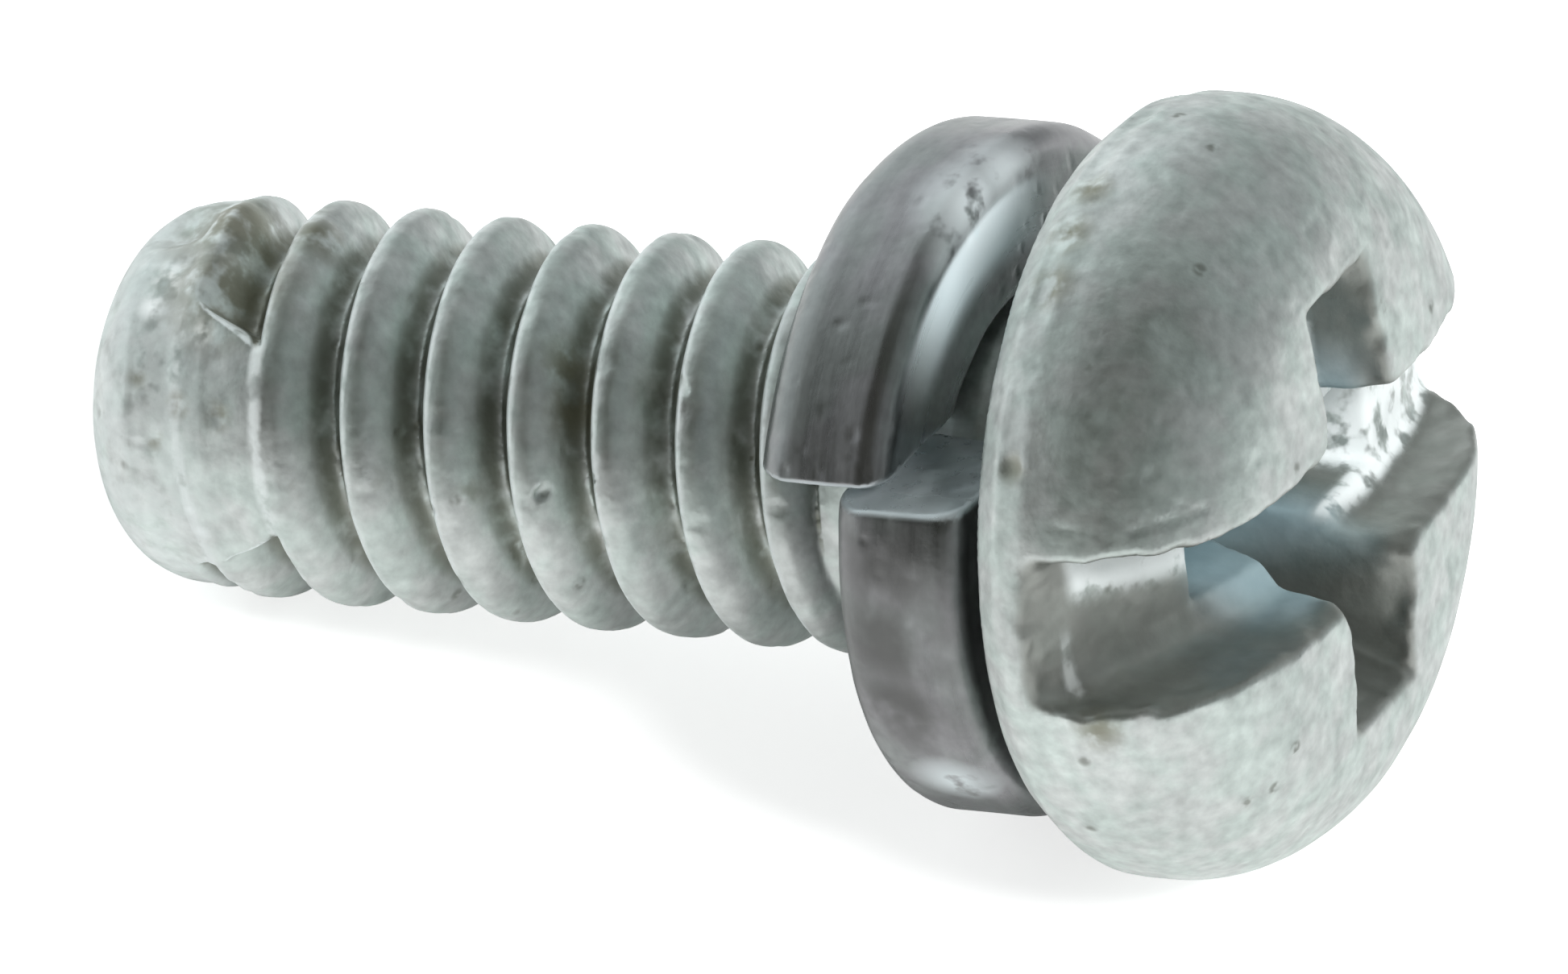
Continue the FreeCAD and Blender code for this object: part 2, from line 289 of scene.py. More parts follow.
def end_radius(angle, z):
    """How far out the blank lies near the end, and the metal that fills its grooves there."""
    from_end = z - END
    near = smooth_step(np.cos(angle - SMOOTH_SIDE), *SMOOTH_WINDOW)
    rise = np.clip(END_ROUNDING - from_end, 0, END_ROUNDING)
    rounding = END_R - END_ROUNDING + np.sqrt(np.maximum(END_ROUNDING ** 2 - rise ** 2, 0))
    taper_length = END_TAPER + SMOOTH_TAPER * near - END_ROUNDING
    taper = END_R + (THREAD_R - END_R) * smooth_step(from_end - END_ROUNDING, 0, taper_length)
    blank = np.where(from_end < END_ROUNDING, rounding, taper)
    fade = smooth_step(from_end - SMOOTH_FADE * near, FADE_START, FADE_START + FADE_LENGTH)
    return blank, blank - END_GROOVE - fade * FADE_FALL * THREAD_DEPTH


def shank(x, y, z):
    """Plain end, thread and neck."""
    blank, fill = end_radius(np.arctan2(y, x), z)
    surface = blend_min(blank, thread_radius(x, y, z), BLANK_CORNER)
    surface = np.minimum(blend_max(surface, fill, FILL_CORNER), blank)
    run_out = NECK_R - np.clip(-NECK_LENGTH - RUN_OUT / 4 - z, 0, 1) * RUN_OUT_FALL
    cone = np.clip((-NECK_LENGTH - z) / RUN_OUT, 0, CONE_REACH)
    cone = NECK_R + (THREAD_R - NECK_R) * cone
    surface = blend_min(blend_max(surface, run_out, NECK_CORNER), cone, NECK_CORNER)
    surface = surface - dents(x, y, z, SHANK_DENTS) - scratches(x, y, z, SHANK_SCRATCHES)
    body = blend_max(np.hypot(x, y) - surface, END - z, END_CORNER) + wear(x, y, z)
    return np.maximum(body, z - SHANK_TOP)


HEAD_DENTS = [
    (on_screw(0.40, -126, 3.37), 0.15, 0.07),
    (on_screw(0.62, -87, 3.37), 0.20, 0.03),
    (on_screw(1.30, -78, 3.30), 0.26, 0.03),
    (on_screw(1.60, -150, 3.10), 0.30, 0.03),
    (on_screw(2.20, 170, 2.20), 0.24, 0.03),
    (on_screw(1.20, 60, 3.36), 0.30, 0.03),
    (on_screw(1.00, 120, 3.37), 0.26, 0.04),
    (on_screw(2.30, 40, 1.80), 0.22, 0.03),
]
HEAD_SCRATCHES = [
    (on_screw(1.50, -118, 3.20), on_screw(1.95, -122, 2.75), 0.06, 0.012),
    (on_screw(2.36, 100, 1.20), on_screw(2.30, 130, 2.20), 0.05, 0.020),
]


def head_blank(x, y, z):
    """The head before the recess is pressed into it."""
    radius = np.hypot(x, y)
    ring = HEAD_R - SHOULDER
    reach = CROWN - SHOULDER
    centre = HEAD_HEIGHT - CROWN
    height = centre + math.sqrt(reach ** 2 - ring ** 2)
    side = radius - HEAD_R
    shoulder = np.hypot(np.maximum(radius - ring, 0), np.maximum(z - height, 0)) - SHOULDER
    crown = np.hypot(radius, z - centre) - CROWN
    on_crown = (z >= height) & (radius * (height - centre) < ring * (z - centre))
    outside = np.where(on_crown, crown, np.where(z < height, side, shoulder))
    slope = math.atan2(HEAD_R - BEARING_R, BELLY)
    belly = (radius - BEARING_R) * math.cos(slope) - z * math.sin(slope)
    body = blend_max(outside, belly, BELLY_CORNER)
    # the crease round the rim is uneven, and deepest on the upper side
    deep = CREASE_DEPTH * (0.55 + 0.45 * smooth_step(-np.cos(np.arctan2(y, x)), 0.3, 0.9))
    deep = deep * (0.65 + 0.9 * lumps(x, y, z, 0.45))
    crease = np.clip(1 - ((z - CREASE_STATION) / CREASE_WIDTH) ** 2, 0, 1) * np.maximum(deep, 0)
    body = body + crease * (radius > BEARING_R)
    body = body + dents(x, y, z, HEAD_DENTS) + scratches(x, y, z, HEAD_SCRATCHES)
    return blend_max(body, -z, BEARING_CORNER) + wear(x, y, z)


def slot_place(x, y, z):
    """Places along and across the slot, and how far below its floor they are."""
    cosine, sine = math.cos(DRIVE_ANGLE), math.sin(DRIVE_ANGLE)
    along = x * cosine + y * sine - DRIVE_ALONG
    across = -x * sine + y * cosine + DRIVE_ACROSS
    floor_centre = HEAD_HEIGHT - SLOT_DEPTH - SLOT_FLOOR
    return along, across, SLOT_FLOOR - np.hypot(along + SLOT_FLOOR_SHIFT, z - floor_centre)


def recess(x, y, z, blank):
    """The combined slot and cross. Negative where metal is missing, ragged near the rim."""
    along, across, floor = slot_place(x, y, z)
    ragged = RAGGED_WAVES * lumps(x, y, z, 0.42) + RAGGED_GRIT * grit(x, y, z, 0.17)
    ragged = ragged * (0.25 + 0.75 * smooth_step(blank, -0.40, -0.05))
    # inside a ridge near its end, the slot's floor curves up into one wall
    swept = smooth_step(along, RIDGE_STATION + RIDGE_HALF, RIDGE_STATION - RIDGE_HALF)
    swept = swept * (across > 0)
    slot = blend_max(np.abs(across) - SLOT_WIDTH / 2, floor, SLOT_CORNER + FLOOR_SWEEP * swept)

    from_foot = z - (HEAD_HEIGHT - CROSS_DEPTH)
    share = from_foot / CROSS_DEPTH
    reach = CROSS_FOOT_REACH + (CROSS_REACH - CROSS_FOOT_REACH) * share
    half = (CROSS_FOOT_WIDTH + (CROSS_WIDTH - CROSS_FOOT_WIDTH) * share) / 2
    core = CROSS_FOOT_WIDTH / 2 + (CROSS_CORE_R - CROSS_FOOT_WIDTH / 2) * share
    wing_a = blend_max(np.abs(along) - reach, np.abs(across) - half, WING_CORNER)
    wing_b = blend_max(np.abs(across) - reach, np.abs(along) - half, WING_CORNER)
    cross = blend_min(np.minimum(wing_a, wing_b), np.hypot(along, across) - core, WING_CORNER)
    cross = blend_max(cross, -from_foot, FOOT_CORNER)
    return blend_min(slot, cross, DRIVE_CORNER) + ragged


def head(x, y, z):
    """The head with its recess."""
    blank = head_blank(x, y, z)
    return blend_max(blank, -recess(x, y, z, blank), RIM_CORNER)


WASHER_DENTS = [
    (on_screw(-0.60, 178, 2.96), 0.26, 0.06),
    (on_screw(-0.30, -172, 2.90), 0.20, 0.05),
    (on_screw(-1.30, -70, 2.96), 0.24, 0.03),
    (on_screw(-1.60, 90, 2.96), 0.30, 0.04),
    (on_screw(-1.20, 20, 2.96), 0.22, 0.03),
]


def turn_done(x, y):
    """The share of the coil's turn that is done, 0 to 1, clockwise from the split."""
    return np.mod(SPLIT_ANGLE - np.arctan2(y, x), 2 * math.pi) / (2 * math.pi)


def coil_base(done):
    """The station of the coil's lower face. It climbs towards the head as it turns."""
    return -GAP - THICKNESS + OFFSET * (done - 1)


def split_place(x, y):
    """How far a point is past the split's plane, and whether it is on the split's side."""
    slant_x, slant_y = math.cos(SPLIT_ANGLE + SPLIT_SLANT), math.sin(SPLIT_ANGLE + SPLIT_SLANT)
    outer_x, outer_y = WASHER_R * math.cos(SPLIT_ANGLE), WASHER_R * math.sin(SPLIT_ANGLE)
    beside = -(x - outer_x) * slant_y + (y - outer_y) * slant_x
    return beside, (x * slant_x + y * slant_y) > 0


def lock_washer(x, y, z):
    """The split ring, with the slit between its two ends."""
    radius = np.hypot(x, y)
    done = turn_done(x, y)
    beside, near_split = split_place(x, y)
    # past the split's plane the coil belongs to its other end
    done = np.where(near_split & (beside < 0) & (done > 0.5), done - 1, done)
    done = np.where(near_split & (beside > 0) & (done < 0.5), done + 1, done)
    base = coil_base(done)
    middle = (BORE_R + WASHER_R) / 2
    wide = (WASHER_R - BORE_R) / 2
    upper = z > base + THICKNESS / 2
    corner = np.where(radius > middle, np.where(upper, UPPER_CORNER, LOWER_CORNER), BORE_CORNER)
    out_r = np.abs(radius - middle) - wide + corner
    out_z = np.abs(z - base - THICKNESS / 2) - THICKNESS / 2 + corner
    section = np.hypot(np.maximum(out_r, 0), np.maximum(out_z, 0)) - corner
    section = section + np.minimum(np.maximum(out_r, out_z), 0)
    section = section + dents(x, y, z, WASHER_DENTS) + wear(x, y, z)
    ends = np.where(done < 0.5, beside, SPLIT_WIDTH - beside)
    ends = np.where(near_split & (np.abs(beside) < SPLIT_REACH), ends, -SPLIT_REACH)
    return blend_max(section, ends + SPLIT_ROUGH * (1 + grit(x, y, z, 0.2)), SPLIT_CORNER)


def shifts(step):
    """A step along each axis."""
    return step * np.eye(3)


def slope(field, points):
    """The field's value and gradient at each point."""
    step = 0.008
    parts = [field(*(points + shift).T) - field(*(points - shift).T) for shift in shifts(step)]
    return field(*points.T), np.stack(parts, 1) / (2 * step)


def openness(field, points, normals, reach):
    """1 where the air above the surface is free, 0 where another wall is close."""
    above = (points + normals * reach).T
    return np.clip(field(*above) / reach, 0, 1)


def roundness(field, points, step):
    """Positive on edges, negative in creases."""
    around = 0.0
    for shift in shifts(step):
        around = around + field(*(points + shift).T) + field(*(points - shift).T)
    return (around / 6 - field(*points.T)) / step


def near_spots(points, spots):
    """How near each point is to a spot, from 0 to 1: centre and radius of each spot."""
    most = np.zeros(len(points))
    for centre, radius in spots:
        away = np.linalg.norm(points - centre, axis=1) / radius
        most = np.maximum(most, np.clip(1.25 - away, 0, 1))
    return most


EDGE_STEP = 0.06
HOLLOW_REACH = 0.30


def zero_level(field, low, high, voxel):
    """The field's zero level in a box: points drawn onto it exactly, normals and faces."""
    low, high = np.array(low), np.array(high)
    sides = [np.arange(a, b + voxel, voxel) for a, b in zip(low, high)]
    grid = openvdb.FloatGrid()
    grid.copyFromArray(field(*np.meshgrid(*sides, indexing="ij")).astype(np.float32))
    points, quads = grid.convertToQuads(0.0)
    points = low + points.astype(float) * voxel
    rounds, flattest, longest = 3, 0.05, 0.5 * voxel
    for _ in range(rounds):
        value, gradient = slope(field, points)
        size = np.maximum((gradient ** 2).sum(1), flattest)
        move = -gradient * (value / size)[:, None]
        length = np.linalg.norm(move, axis=1)
        points = points + move * np.minimum(1, longest / np.maximum(length, 1e-9))[:, None]
    normals = gradient / np.maximum(np.linalg.norm(gradient, axis=1), 1e-9)[:, None]
    return points, normals, quads.astype(int)


def skin(name, field, low, high, voxel, node, material, extra):
    """A mesh over the field's zero level, in place of a node, whose body has the same name.

    Its points carry values that the materials read: place, in millimetres, edge, hollow,
    and those that extra returns.
    """
    points, normals, quads = zero_level(field, low, high, voxel)
    mesh = bpy.data.meshes.new(name)
    mesh.from_pydata((to_world(points) * MM).tolist(), [], quads.tolist())
    mesh.polygons.foreach_set("use_smooth", [True] * len(mesh.polygons))
    carried = {"place": points, "edge": roundness(field, points, EDGE_STEP),
               "hollow": 1 - openness(field, points, normals, HOLLOW_REACH)}
    carried.update(extra(points))
    for label, numbers in carried.items():
        kind, key = ("FLOAT_VECTOR", "vector") if numbers.ndim == 2 else ("FLOAT", "value")
        mesh.attributes.new(label, kind, "POINT").data.foreach_set(key, numbers.ravel())
    mesh.update()
    thing = bpy.data.objects.new(name, mesh)
    bpy.context.scene.collection.objects.link(thing)
    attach(thing, node)
    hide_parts(node)
    mesh.materials.append(material)


class Weave:
    """A short way to write the nodes of a material or a world."""

    def __init__(self, owner):
        owner.use_nodes = True
        self.nodes = owner.node_tree.nodes
        self.links = owner.node_tree.links

    def put(self, target, source):
        """Link a source, or set a plain value."""
        if isinstance(source, bpy.types.NodeSocket):
            self.links.new(source, target)
        else:
            target.default_value = source

    def value(self, name, output="Fac"):
        """A number that the mesh's points carry."""
        node = self.nodes.new("ShaderNodeAttribute")
        node.attribute_name = name
        return node.outputs[output]

    def vector(self, operation, a, b):
        """Arithmetic on vectors. Gives the node."""
        node = self.nodes.new("ShaderNodeVectorMath")
        node.operation = operation
        self.put(node.inputs[0], a)
        self.put(node.inputs["Scale"] if operation == "SCALE" else node.inputs[1], b)
        return node

    def place(self, stretch=(1, 1, 1)):
        """The place on the object in millimetres, stretched."""
        return self.vector("MULTIPLY", self.value("place", "Vector"), stretch).outputs[0]

    def noise(self, place, per_mm, detail=3.0):
        """Soft noise around 0.5."""
        node = self.nodes.new("ShaderNodeTexNoise")
        node.inputs["Scale"].default_value = per_mm
        node.inputs["Detail"].default_value = detail
        self.links.new(place, node.inputs["Vector"])
        return node.outputs["Fac"]

    def spots(self, place, per_mm, radius, share):
        """Round spots in a share of the cells of a jittered grid."""
        node = self.nodes.new("ShaderNodeTexVoronoi")
        node.inputs["Scale"].default_value = per_mm
        self.links.new(place, node.inputs["Vector"])
        split = self.nodes.new("ShaderNodeSeparateColor")
        self.links.new(node.outputs["Color"], split.inputs[0])
        inside = self.step(node.outputs["Distance"], radius, radius * 0.4)
        chosen = self.step(split.outputs[0], 1 - share, 1 - share + 0.05)
        return self.math("MULTIPLY", inside, chosen)

    def step(self, value, low, high, top=1.0):
        """Goes from 0 at low to top at high."""
        node = self.nodes.new("ShaderNodeMapRange")
        node.interpolation_type = "SMOOTHSTEP"
        self.links.new(value, node.inputs["Value"])
        node.inputs["From Min"].default_value = low
        node.inputs["From Max"].default_value = high
        node.inputs["To Max"].default_value = top
        return node.outputs["Result"]

    def math(self, operation, a, b):
        """Plain arithmetic."""
        node = self.nodes.new("ShaderNodeMath")
        node.operation = operation
        self.put(node.inputs[0], a)
        self.put(node.inputs[1], b)
        return node.outputs[0]

    def times(self, a, b):
        """The product of two values."""
        return self.math("MULTIPLY", a, b)

    def most(self, first, *others):
        """The largest of some values."""
        for other in others:
            first = self.math("MAXIMUM", first, other)
        return first

    def mix(self, share, a, b):
        """Colour a where share is 0 and b where it is 1."""
        node = self.nodes.new("ShaderNodeMix")
        node.data_type = "RGBA"
        self.put(node.inputs["Factor"], share)
        slots = [socket for socket in node.inputs if socket.type == "RGBA"]
        for socket, colour in zip(slots, (a, b)):
            self.put(socket, (*colour, 1) if isinstance(colour, tuple) else colour)
        return [socket for socket in node.outputs if socket.type == "RGBA"][0]

    def scaled(self, colour, value, low, high):
        """A colour made darker or lighter by a noise."""
        node = self.nodes.new("ShaderNodeMapRange")
        self.links.new(value, node.inputs["Value"])
        for label, number in (("From Min", 0.25), ("From Max", 0.75),
                              ("To Min", low), ("To Max", high)):
            node.inputs[label].default_value = number
        return self.vector("SCALE", colour, node.outputs["Result"]).outputs[0]

    def bump(self, height, distance, below=None):
        """A bump of the given depth in millimetres."""
        node = self.nodes.new("ShaderNodeBump")
        node.inputs["Strength"].default_value = 1.0
        node.inputs["Distance"].default_value = distance * MM
        self.links.new(height, node.inputs["Height"])
        if below is not None:
            self.links.new(below, node.inputs["Normal"])
        return node.outputs["Normal"]


ZINC_GREEN = (0.625, 0.688, 0.660)
ZINC_GREY = (0.655, 0.682, 0.668)
SHADED_RECESS_WALL = (0.30, 0.305, 0.28)
RECESS_MIDDLE_REFLECTION = (0.40, 0.56, 0.62)
HIGHLIGHT_AND_CRUMBLED_ZINC = (0.95, 1.0, 1.0)
RUBBED_ZINC = (0.90, 0.96, 0.96)
SHADE_AND_DIRT = (0.235, 0.245, 0.205)
STAIN = (0.25, 0.24, 0.17)
PIT = (0.28, 0.29, 0.26)


def make_zinc():
    """Dull bright-zinc plate with fine speckle, pits, rubbed edges, dirt with painted shade in
    the creases, painted shade and a painted bluish reflection in the recess, and painted
    highlights.
    """
    material = bpy.data.materials.new("zinc")
    weave = Weave(material)
    shader = weave.nodes["Principled BSDF"]
    place = weave.place()
    tint = weave.step(weave.noise(place, 2.2), 0.36, 0.64)
    colour = weave.mix(tint, ZINC_GREEN, ZINC_GREY)
    colour = weave.scaled(colour, weave.noise(place, 0.9, 4.0), 0.90, 1.10)
    colour = weave.scaled(colour, weave.noise(place, 7.0), 0.84, 1.15)
    # painted shade: the recess's walls are made darker
    colour = weave.mix(weave.times(weave.value("wall"), 0.8), colour, SHADED_RECESS_WALL)
    # painted reflection and shade: the recess's middle is tinted bluish and darker
    colour = weave.mix(weave.times(weave.value("middle"), 0.8), colour, RECESS_MIDDLE_REFLECTION)
    # painted highlights: the slot's bright floor patches, the shank's pale end and its crest
    # lines, with crumbled flecks
    highlight_and_crumble = weave.times(weave.value("floor"), weave.step(weave.noise(place, 4.5), 0.34, 0.52))
    colour = weave.mix(highlight_and_crumble, colour, HIGHLIGHT_AND_CRUMBLED_ZINC)
    # painted shade with dirt: hollows and creases are darkened
    crevice_shade_and_dirt = weave.times(weave.step(weave.value("hollow"), 0.05, 0.80),
                       weave.step(weave.noise(place, 3.0), 0.20, 0.55, 0.95))
    crevice_shade_and_dirt = weave.times(crevice_shade_and_dirt, weave.step(weave.value("edge"), 0.20, 0.0))
    crevice_shade_and_dirt = weave.times(crevice_shade_and_dirt, weave.step(weave.value("inside"), 1.0, 0.0))
    colour = weave.mix(crevice_shade_and_dirt, colour, SHADE_AND_DIRT)
    stain = weave.times(weave.value("stain"),
                        weave.step(weave.noise(place, 4.0), 0.34, 0.56, 0.80))
    colour = weave.mix(stain, colour, STAIN)
    pits = weave.times(weave.spots(place, 3.4, 0.30, 0.08),
                       weave.step(weave.noise(place, 11.0, 1.0), 0.30, 0.60, 0.7))
    colour = weave.mix(pits, colour, PIT)
    rubbed = weave.times(weave.step(weave.value("edge"), 0.16, 0.42),
                         weave.step(weave.noise(place, 5.0), 0.26, 0.48, 0.85))
    colour = weave.mix(rubbed, colour, RUBBED_ZINC)
    weave.put(shader.inputs["Base Color"], colour)
    # the painted highlights with crumbled flecks and the rubbed plating are whiter and scatter
    # light, and so, less, do the recess's middle with its painted bluish reflection and its
    # walls in painted shade
    chalky = weave.most(weave.times(highlight_and_crumble, 0.9), weave.times(rubbed, 0.35),
                        weave.times(weave.value("middle"), 0.42),
                        weave.times(weave.value("wall"), 0.10))
    weave.put(shader.inputs["Metallic"], weave.math("SUBTRACT", 1.0, chalky))
    rough = weave.math("ADD", weave.step(weave.noise(place, 4.0), 0.30, 0.70, 0.14), 0.42)
    rough = weave.math("ADD", rough, weave.times(pits, 0.2))
    weave.put(shader.inputs["Roughness"], rough)
    fine = weave.bump(weave.noise(place, 10.0), 0.0035)
    weave.put(shader.inputs["Normal"], weave.bump(weave.noise(place, 3.2), 0.010, fine))
    return material


STEEL_GREEN = (0.30, 0.315, 0.312)
STEEL_BLUE = (0.315, 0.312, 0.322)
DARK_ARM_STEEL = (0.125, 0.125, 0.122)
PAINTED_HIGHLIGHT_FACE = (0.82, 0.94, 0.98)
WORN_AND_SHEEN_STEEL = (0.86, 0.93, 0.95)
RUBBED_STEEL = (0.50, 0.53, 0.54)


def make_steel():
    """Spring steel with a thin dull plate, drawn lines along the coil."""
    material = bpy.data.materials.new("steel")
    weave = Weave(material)
    shader = weave.nodes["Principled BSDF"]
    place = weave.place()
    lines = weave.noise(weave.place((7.0, 0.55, 7.0)), 1.0, 4.0)
    tint = weave.step(weave.noise(place, 1.6, 2.0), 0.38, 0.62)
    colour = weave.mix(tint, STEEL_GREEN, STEEL_BLUE)
    colour = weave.scaled(colour, lines, 0.82, 1.16)
    colour = weave.scaled(colour, weave.noise(place, 8.0), 0.88, 1.12)
    # the lower arm is darker in patches
    tarnish = weave.times(weave.value("tarnish"),
                          weave.step(weave.noise(place, 1.8), 0.22, 0.55, 0.9))
    colour = weave.mix(tarnish, colour, DARK_ARM_STEEL)
    # painted highlight: the lit crescent under the head and the brightened ends of the split
    painted_highlight_face = weave.value("inside")
    colour = weave.mix(painted_highlight_face, colour, PAINTED_HIGHLIGHT_FACE)
    # worn spots, brightened further as a painted highlight
    worn_and_sheen = weave.times(weave.value("stain"),
                       weave.step(weave.noise(place, 3.6), 0.30, 0.48, 0.95))
    colour = weave.mix(worn_and_sheen, colour, WORN_AND_SHEEN_STEEL)
    colour = weave.mix(weave.step(weave.value("edge"), 0.30, 0.60, 0.35), colour, RUBBED_STEEL)
    weave.put(shader.inputs["Base Color"], colour)
    # worn steel with its painted sheen, the painted highlight on the face under the head and the
    # brightened ends of the split scatter light
    chalky = weave.most(weave.times(worn_and_sheen, 0.8), painted_highlight_face)
    weave.put(shader.inputs["Metallic"], weave.math("SUBTRACT", 1.0, chalky))
    rough = weave.math("ADD", weave.step(lines, 0.30, 0.70, 0.12), weave.times(worn_and_sheen, 0.2))
    weave.put(shader.inputs["Roughness"], weave.math("ADD", rough, 0.26))
    fine = weave.bump(weave.noise(place, 10.0), 0.002)
    weave.put(shader.inputs["Normal"], weave.bump(lines, 0.003, fine))
    return material


STAINS = [
    (on_screw(-4.72, -146, 1.45), 0.28),
    (on_screw(-4.55, -132, 1.40), 0.30),
    (on_screw(-7.93, -160, 1.60), 0.66),
    (on_screw(-8.15, 174, 1.70), 0.70),
    (on_screw(-7.35, 178, 1.72), 0.30),
    (on_screw(-8.44, -110, 1.62), 0.11),
    (on_screw(-8.20, -121, 1.68), 0.12),
    (on_screw(-7.80, -119, 1.68), 0.14),
    (on_screw(-8.62, -128, 1.60), 0.10),
    (on_screw(-7.05, -98, 1.72), 0.12),
    (on_screw(-6.20, -104, 1.72), 0.16),
    (on_screw(-3.60, -146, 1.50), 0.22),
    (on_screw(-5.60, -100, 1.50), 0.18),
    (on_screw(-6.30, 30, 1.50), 0.60),
    (on_screw(-4.00, 90, 1.50), 0.50),
    (on_screw(0.46, -172, 3.36), 0.20),
    (on_screw(0.44, -163, 3.36), 0.22),
    (on_screw(0.45, -154, 3.36), 0.22),
    (on_screw(0.42, -126, 3.36), 0.15),
    (on_screw(1.10, -86, 3.36), 0.24),
    (on_screw(1.60, 60, 3.20), 0.40),
]
FLECKS = [
    (on_screw(-8.50, -160, 1.62), 0.24),
    (on_screw(-8.62, -150, 1.60), 0.16),
    (on_screw(-8.05, -143, 1.68), 0.13),
    (on_screw(-8.12, -80, 1.70), 0.10),
    (on_screw(-8.17, -88, 1.70), 0.08),
]
# worn spots on the washer, which also carry a painted highlight
WORN_AND_SHEEN_SPOTS = [
    (on_screw(-0.62, -177, 2.96), 0.66),
    (on_screw(-0.42, -166, 2.90), 0.55),
    (on_screw(-0.55, 172, 2.92), 0.60),
    (on_screw(-1.70, 60, 2.96), 0.60),
    (on_screw(-0.80, -60, 2.96), 0.35),
]
# patches where the lower arm is darker
DARK_ARM_SPOTS = [
    (on_screw(-0.85, -108, 2.96), 0.75),
    (on_screw(-0.95, -94, 2.96), 0.80),
    (on_screw(-1.00, -80, 2.96), 0.70),
]


def shank_extra(points):
    """Stains on the shank, pale flecks, its end painted pale as a highlight, and the crests'
    leading edges, which are rubbed and carry a painted highlight.
    """
    none = np.zeros(len(points))
    x, y, z = points.T
    # painted highlight: the end is paler
    end = 0.3 * smooth_step(z, -7.7, -8.5)
    # painted highlight and rubbing along the crests' leading edges
    line = smooth_step(np.abs(from_crest(x, y, z) + 0.125), 0.075, 0.035)
    line = line * smooth_step(np.hypot(x, y), 1.58, 1.66) * smooth_step(z, -8.5, -8.2)
    pale = np.maximum(np.maximum(near_spots(points, FLECKS), end), 0.55 * line)
    return {"inside": none, "floor": pale, "middle": none, "wall": none,
            "stain": near_spots(points, STAINS)}


def head_extra(points):
    """Stains on the head, and where the recess is, its floor with painted highlights, its middle
    with a painted bluish reflection, and its walls in painted shade.
    """
    x, y, z = points.T
    along, across, floor = slot_place(x, y, z)
    inside = smooth_step(recess(x, y, z, head_blank(x, y, z)), 0.06, 0.0)
    # painted highlights: the slot's far end is painted bright, and so is a part of its near
    # floor, behind the ridge
    far = smooth_step(along, -1.15, -1.45)
    far = far * smooth_step(z, 1.95, 1.78) * smooth_step(across, 0.60, 0.46)
    lit = smooth_step(across + 0.22 * (along - 2.2), 0.04, -0.22)
    lit = lit * smooth_step(along, RIDGE_STATION, RIDGE_STATION - 0.2)
    streak = 0.35 * smooth_step(np.abs(along - RIDGE_STATION), 0.07, 0.02)
    streak = streak * smooth_step(across, 0.0, 0.25)
    lit = smooth_step(np.abs(floor), 0.14, 0.05) * np.maximum(lit, streak)
    on_floor = inside * np.maximum(lit, far)
    # painted reflection: the recess's middle, tinted bluish
    middle = inside * smooth_step(np.hypot(along - 0.25, across + 0.1), 1.45, 0.80)
    middle = middle * smooth_step(z, 2.25, 1.9)
    # painted shade: the rest of the recess, its walls
    wall = inside * (1 - on_floor) * (1 - middle)
    return {"inside": inside, "floor": on_floor, "middle": middle, "wall": wall,
            "stain": near_spots(points, STAINS)}


def washer_extra(points):
    """Places across the washer's section, along its coil and up, its painted highlights and its
    darker patches.

    The value inside marks painted highlights: the lit crescent seen under the head and the
    split's two end faces.
    """
    x, y, z = points.T
    radius = np.hypot(x, y)
    done = turn_done(x, y)
    base = coil_base(done)
    own = np.stack([radius, done * math.pi * (BORE_R + WASHER_R), z - base], 1)
    top = smooth_step(z - base, THICKNESS - 0.12, THICKNESS - 0.04)
    rim = 2.84 - 1.3 * np.clip(done - 0.06, 0, 0.2)
    # painted highlight: the crescent lit under the head, cut off where the head's shadow falls
    crescent = smooth_step(radius, rim, rim - 0.10) * smooth_step(radius, rim - 0.75, rim - 0.45)
    crescent = crescent * smooth_step(done, 0.03, 0.12) * smooth_step(done, 0.25, 0.17)
    beside, near_split = split_place(x, y)
    # painted highlight: the split's end faces are brightened
    split = smooth_step(np.abs(beside - SPLIT_WIDTH / 2), 0.125, 0.095) * near_split
    return {"place": own, "inside": np.maximum(top * crescent, 0.42 * split),
            "tarnish": near_spots(points, DARK_ARM_SPOTS), "stain": near_spots(points, WORN_AND_SHEEN_SPOTS)}


# How much the floor glows by itself: towards the camera, and in the object's reflections.
FLOOR_GLOW = 0.70
FLOOR_GLOW_REFLECTED = 0.12
FLOOR_HALF_M = 2.0


def make_floor():
    """A large white floor that keeps the object's shadow."""
    mesh = bpy.data.meshes.new("floor")
    corners = [(-1, -1), (1, -1), (1, 1), (-1, 1)]
    mesh.from_pydata([(FLOOR_HALF_M * x, FLOOR_HALF_M * y, 0) for x, y in corners], [],
                     [(0, 1, 2, 3)])
    floor = bpy.data.objects.new("floor", mesh)
    bpy.context.scene.collection.objects.link(floor)
    material = bpy.data.materials.new("floor")
    weave = Weave(material)
    weave.nodes.remove(weave.nodes["Principled BSDF"])
    paper = weave.nodes.new("ShaderNodeBsdfDiffuse")
    paper.inputs["Color"].default_value = (0.92, 0.92, 0.92, 1)
    glow = weave.nodes.new("ShaderNodeEmission")
    glow.inputs["Color"].default_value = (1, 1, 1, 1)
    rays = weave.nodes.new("ShaderNodeLightPath").outputs
    reflected = weave.most(rays["Is Glossy Ray"], rays["Is Transmission Ray"])
    strength = weave.math("ADD", weave.times(rays["Is Camera Ray"], FLOOR_GLOW),
                          weave.times(reflected, FLOOR_GLOW_REFLECTED))
    weave.put(glow.inputs["Strength"], strength)
    both = weave.nodes.new("ShaderNodeAddShader")
    weave.put(both.inputs[0], paper.outputs[0])
    weave.put(both.inputs[1], glow.outputs[0])
    weave.put(weave.nodes["Material Output"].inputs["Surface"], both.outputs[0])
    mesh.materials.append(material)


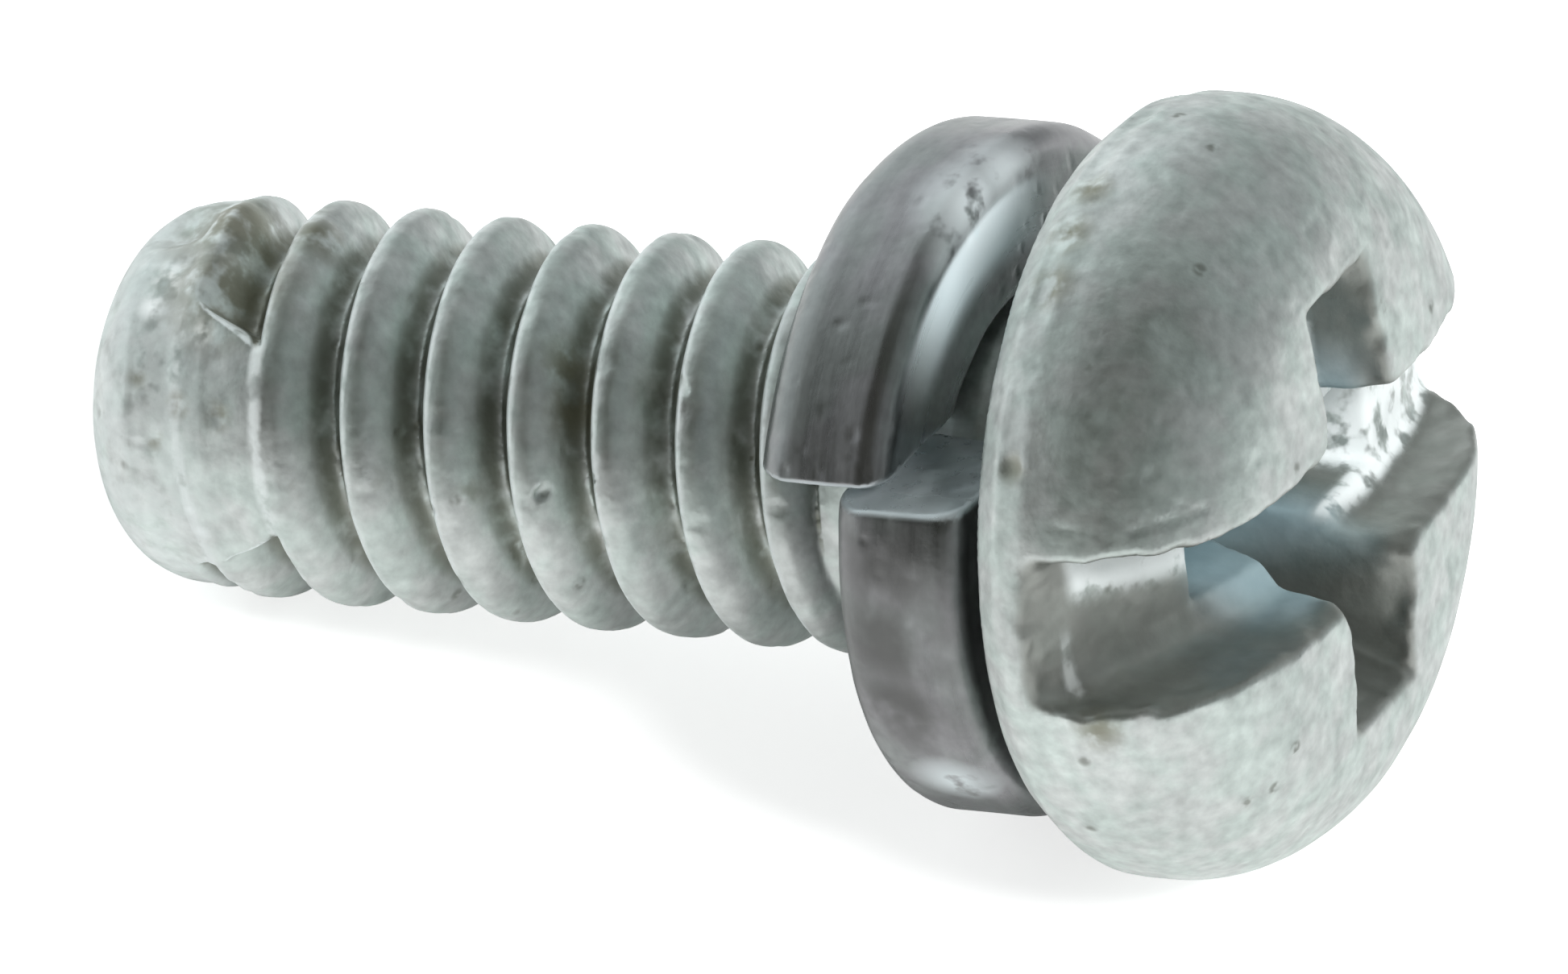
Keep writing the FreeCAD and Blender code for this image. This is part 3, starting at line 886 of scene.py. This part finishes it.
# Each panel of the tent: where it is, how its light comes up with the cosine of the angle
# to that direction, and its colour. The first reaches all round.
TENT = [
    ((0, 0, 1), -2.0, -1.5, (0.098, 0.101, 0.089)),
    ((-0.95, 0.20, 0.05), 0.20, 0.95, (0.72, 0.77, 0.79)),
    ((0.98, 0.15, 0.10), 0.20, 0.90, (0.19, 0.21, 0.22)),
    ((-0.20, 0.80, 0.45), 0.20, 0.90, (0.28, 0.30, 0.31)),
]


def make_world():
    """A light tent: open to the sides and the back, dark where the camera's room is."""
    world = bpy.data.worlds.new("world")
    bpy.context.scene.world = world
    weave = Weave(world)
    direction = weave.nodes.new("ShaderNodeTexCoord").outputs["Generated"]
    total = None
    for towards, low, high, colour in TENT:
        cosine = weave.vector("DOT_PRODUCT", direction, Vector(towards).normalized())
        strength = weave.step(cosine.outputs["Value"], low, high)
        part = weave.vector("SCALE", colour, strength).outputs[0]
        total = part if total is None else weave.vector("ADD", total, part).outputs[0]
    background = weave.nodes["Background"]
    weave.put(background.inputs["Color"], total)
    background.inputs["Strength"].default_value = 1.0


def make_lamp():
    """A soft lamp above, to the right. The metal's reflections leave it out."""
    data = bpy.data.lights.new("lamp", "SUN")
    data.energy = 2.8
    data.angle = math.radians(20)
    lamp = bpy.data.objects.new("lamp", data)
    lamp.rotation_euler = Vector((0.62, -0.30, 0.72)).to_track_quat("Z", "Y").to_euler()
    lamp.visible_glossy = False
    bpy.context.scene.collection.objects.link(lamp)


def make_camera():
    """A long lens, at the photograph's viewing angle and framing."""
    azimuth, elevation = math.radians(23.23), math.radians(37.34)
    distance = 300 * MM
    photo_width, photo_height = 1946, 1209
    pixels_per_mm = 145.6
    # the point that is aimed at, and where it lies in the photograph
    target = Vector((0, 0, 3.2 * MM))
    seen_x, seen_y = 951.5, 481.4
    back = Vector((math.sin(azimuth) * math.cos(elevation),
                   -math.cos(azimuth) * math.cos(elevation), math.sin(elevation)))
    right = Vector((math.cos(azimuth), math.sin(azimuth), 0))
    up = back.cross(right)
    across = (photo_width / 2 - seen_x) / pixels_per_mm * MM
    down = (photo_height / 2 - seen_y) / pixels_per_mm * MM
    data = bpy.data.cameras.new("camera")
    data.sensor_width = 36
    data.lens = data.sensor_width * distance / (photo_width / pixels_per_mm * MM)
    data.clip_start, data.clip_end = 0.05, 10
    camera = bpy.data.objects.new("camera", data)
    bpy.context.scene.collection.objects.link(camera)
    turn = Matrix((right, up, back)).transposed().to_4x4()
    camera.matrix_world = Matrix.Translation(target + right * across - up * down
                                             + back * distance) @ turn
    bpy.context.scene.camera = camera


zinc = make_zinc()
steel = make_steel()
MARGIN = 0.12
skin("screw_shank", shank, (-1.85, -1.85, END - MARGIN), (1.85, 1.85, 0.35), 0.040,
     "screw", zinc, shank_extra)
skin("screw_head", head, (-3.5, -3.5, -MARGIN), (3.5, 3.5, HEAD_HEIGHT + MARGIN), 0.043,
     "screw", zinc, head_extra)
skin("lock_washer_ring", lock_washer, (-3.1, -3.1, -2.35), (3.1, 3.1, MARGIN), 0.034,
     "lock_washer", steel, washer_extra)

make_floor()
make_world()
make_lamp()
make_camera()
bpy.context.scene.view_settings.view_transform = "Standard"
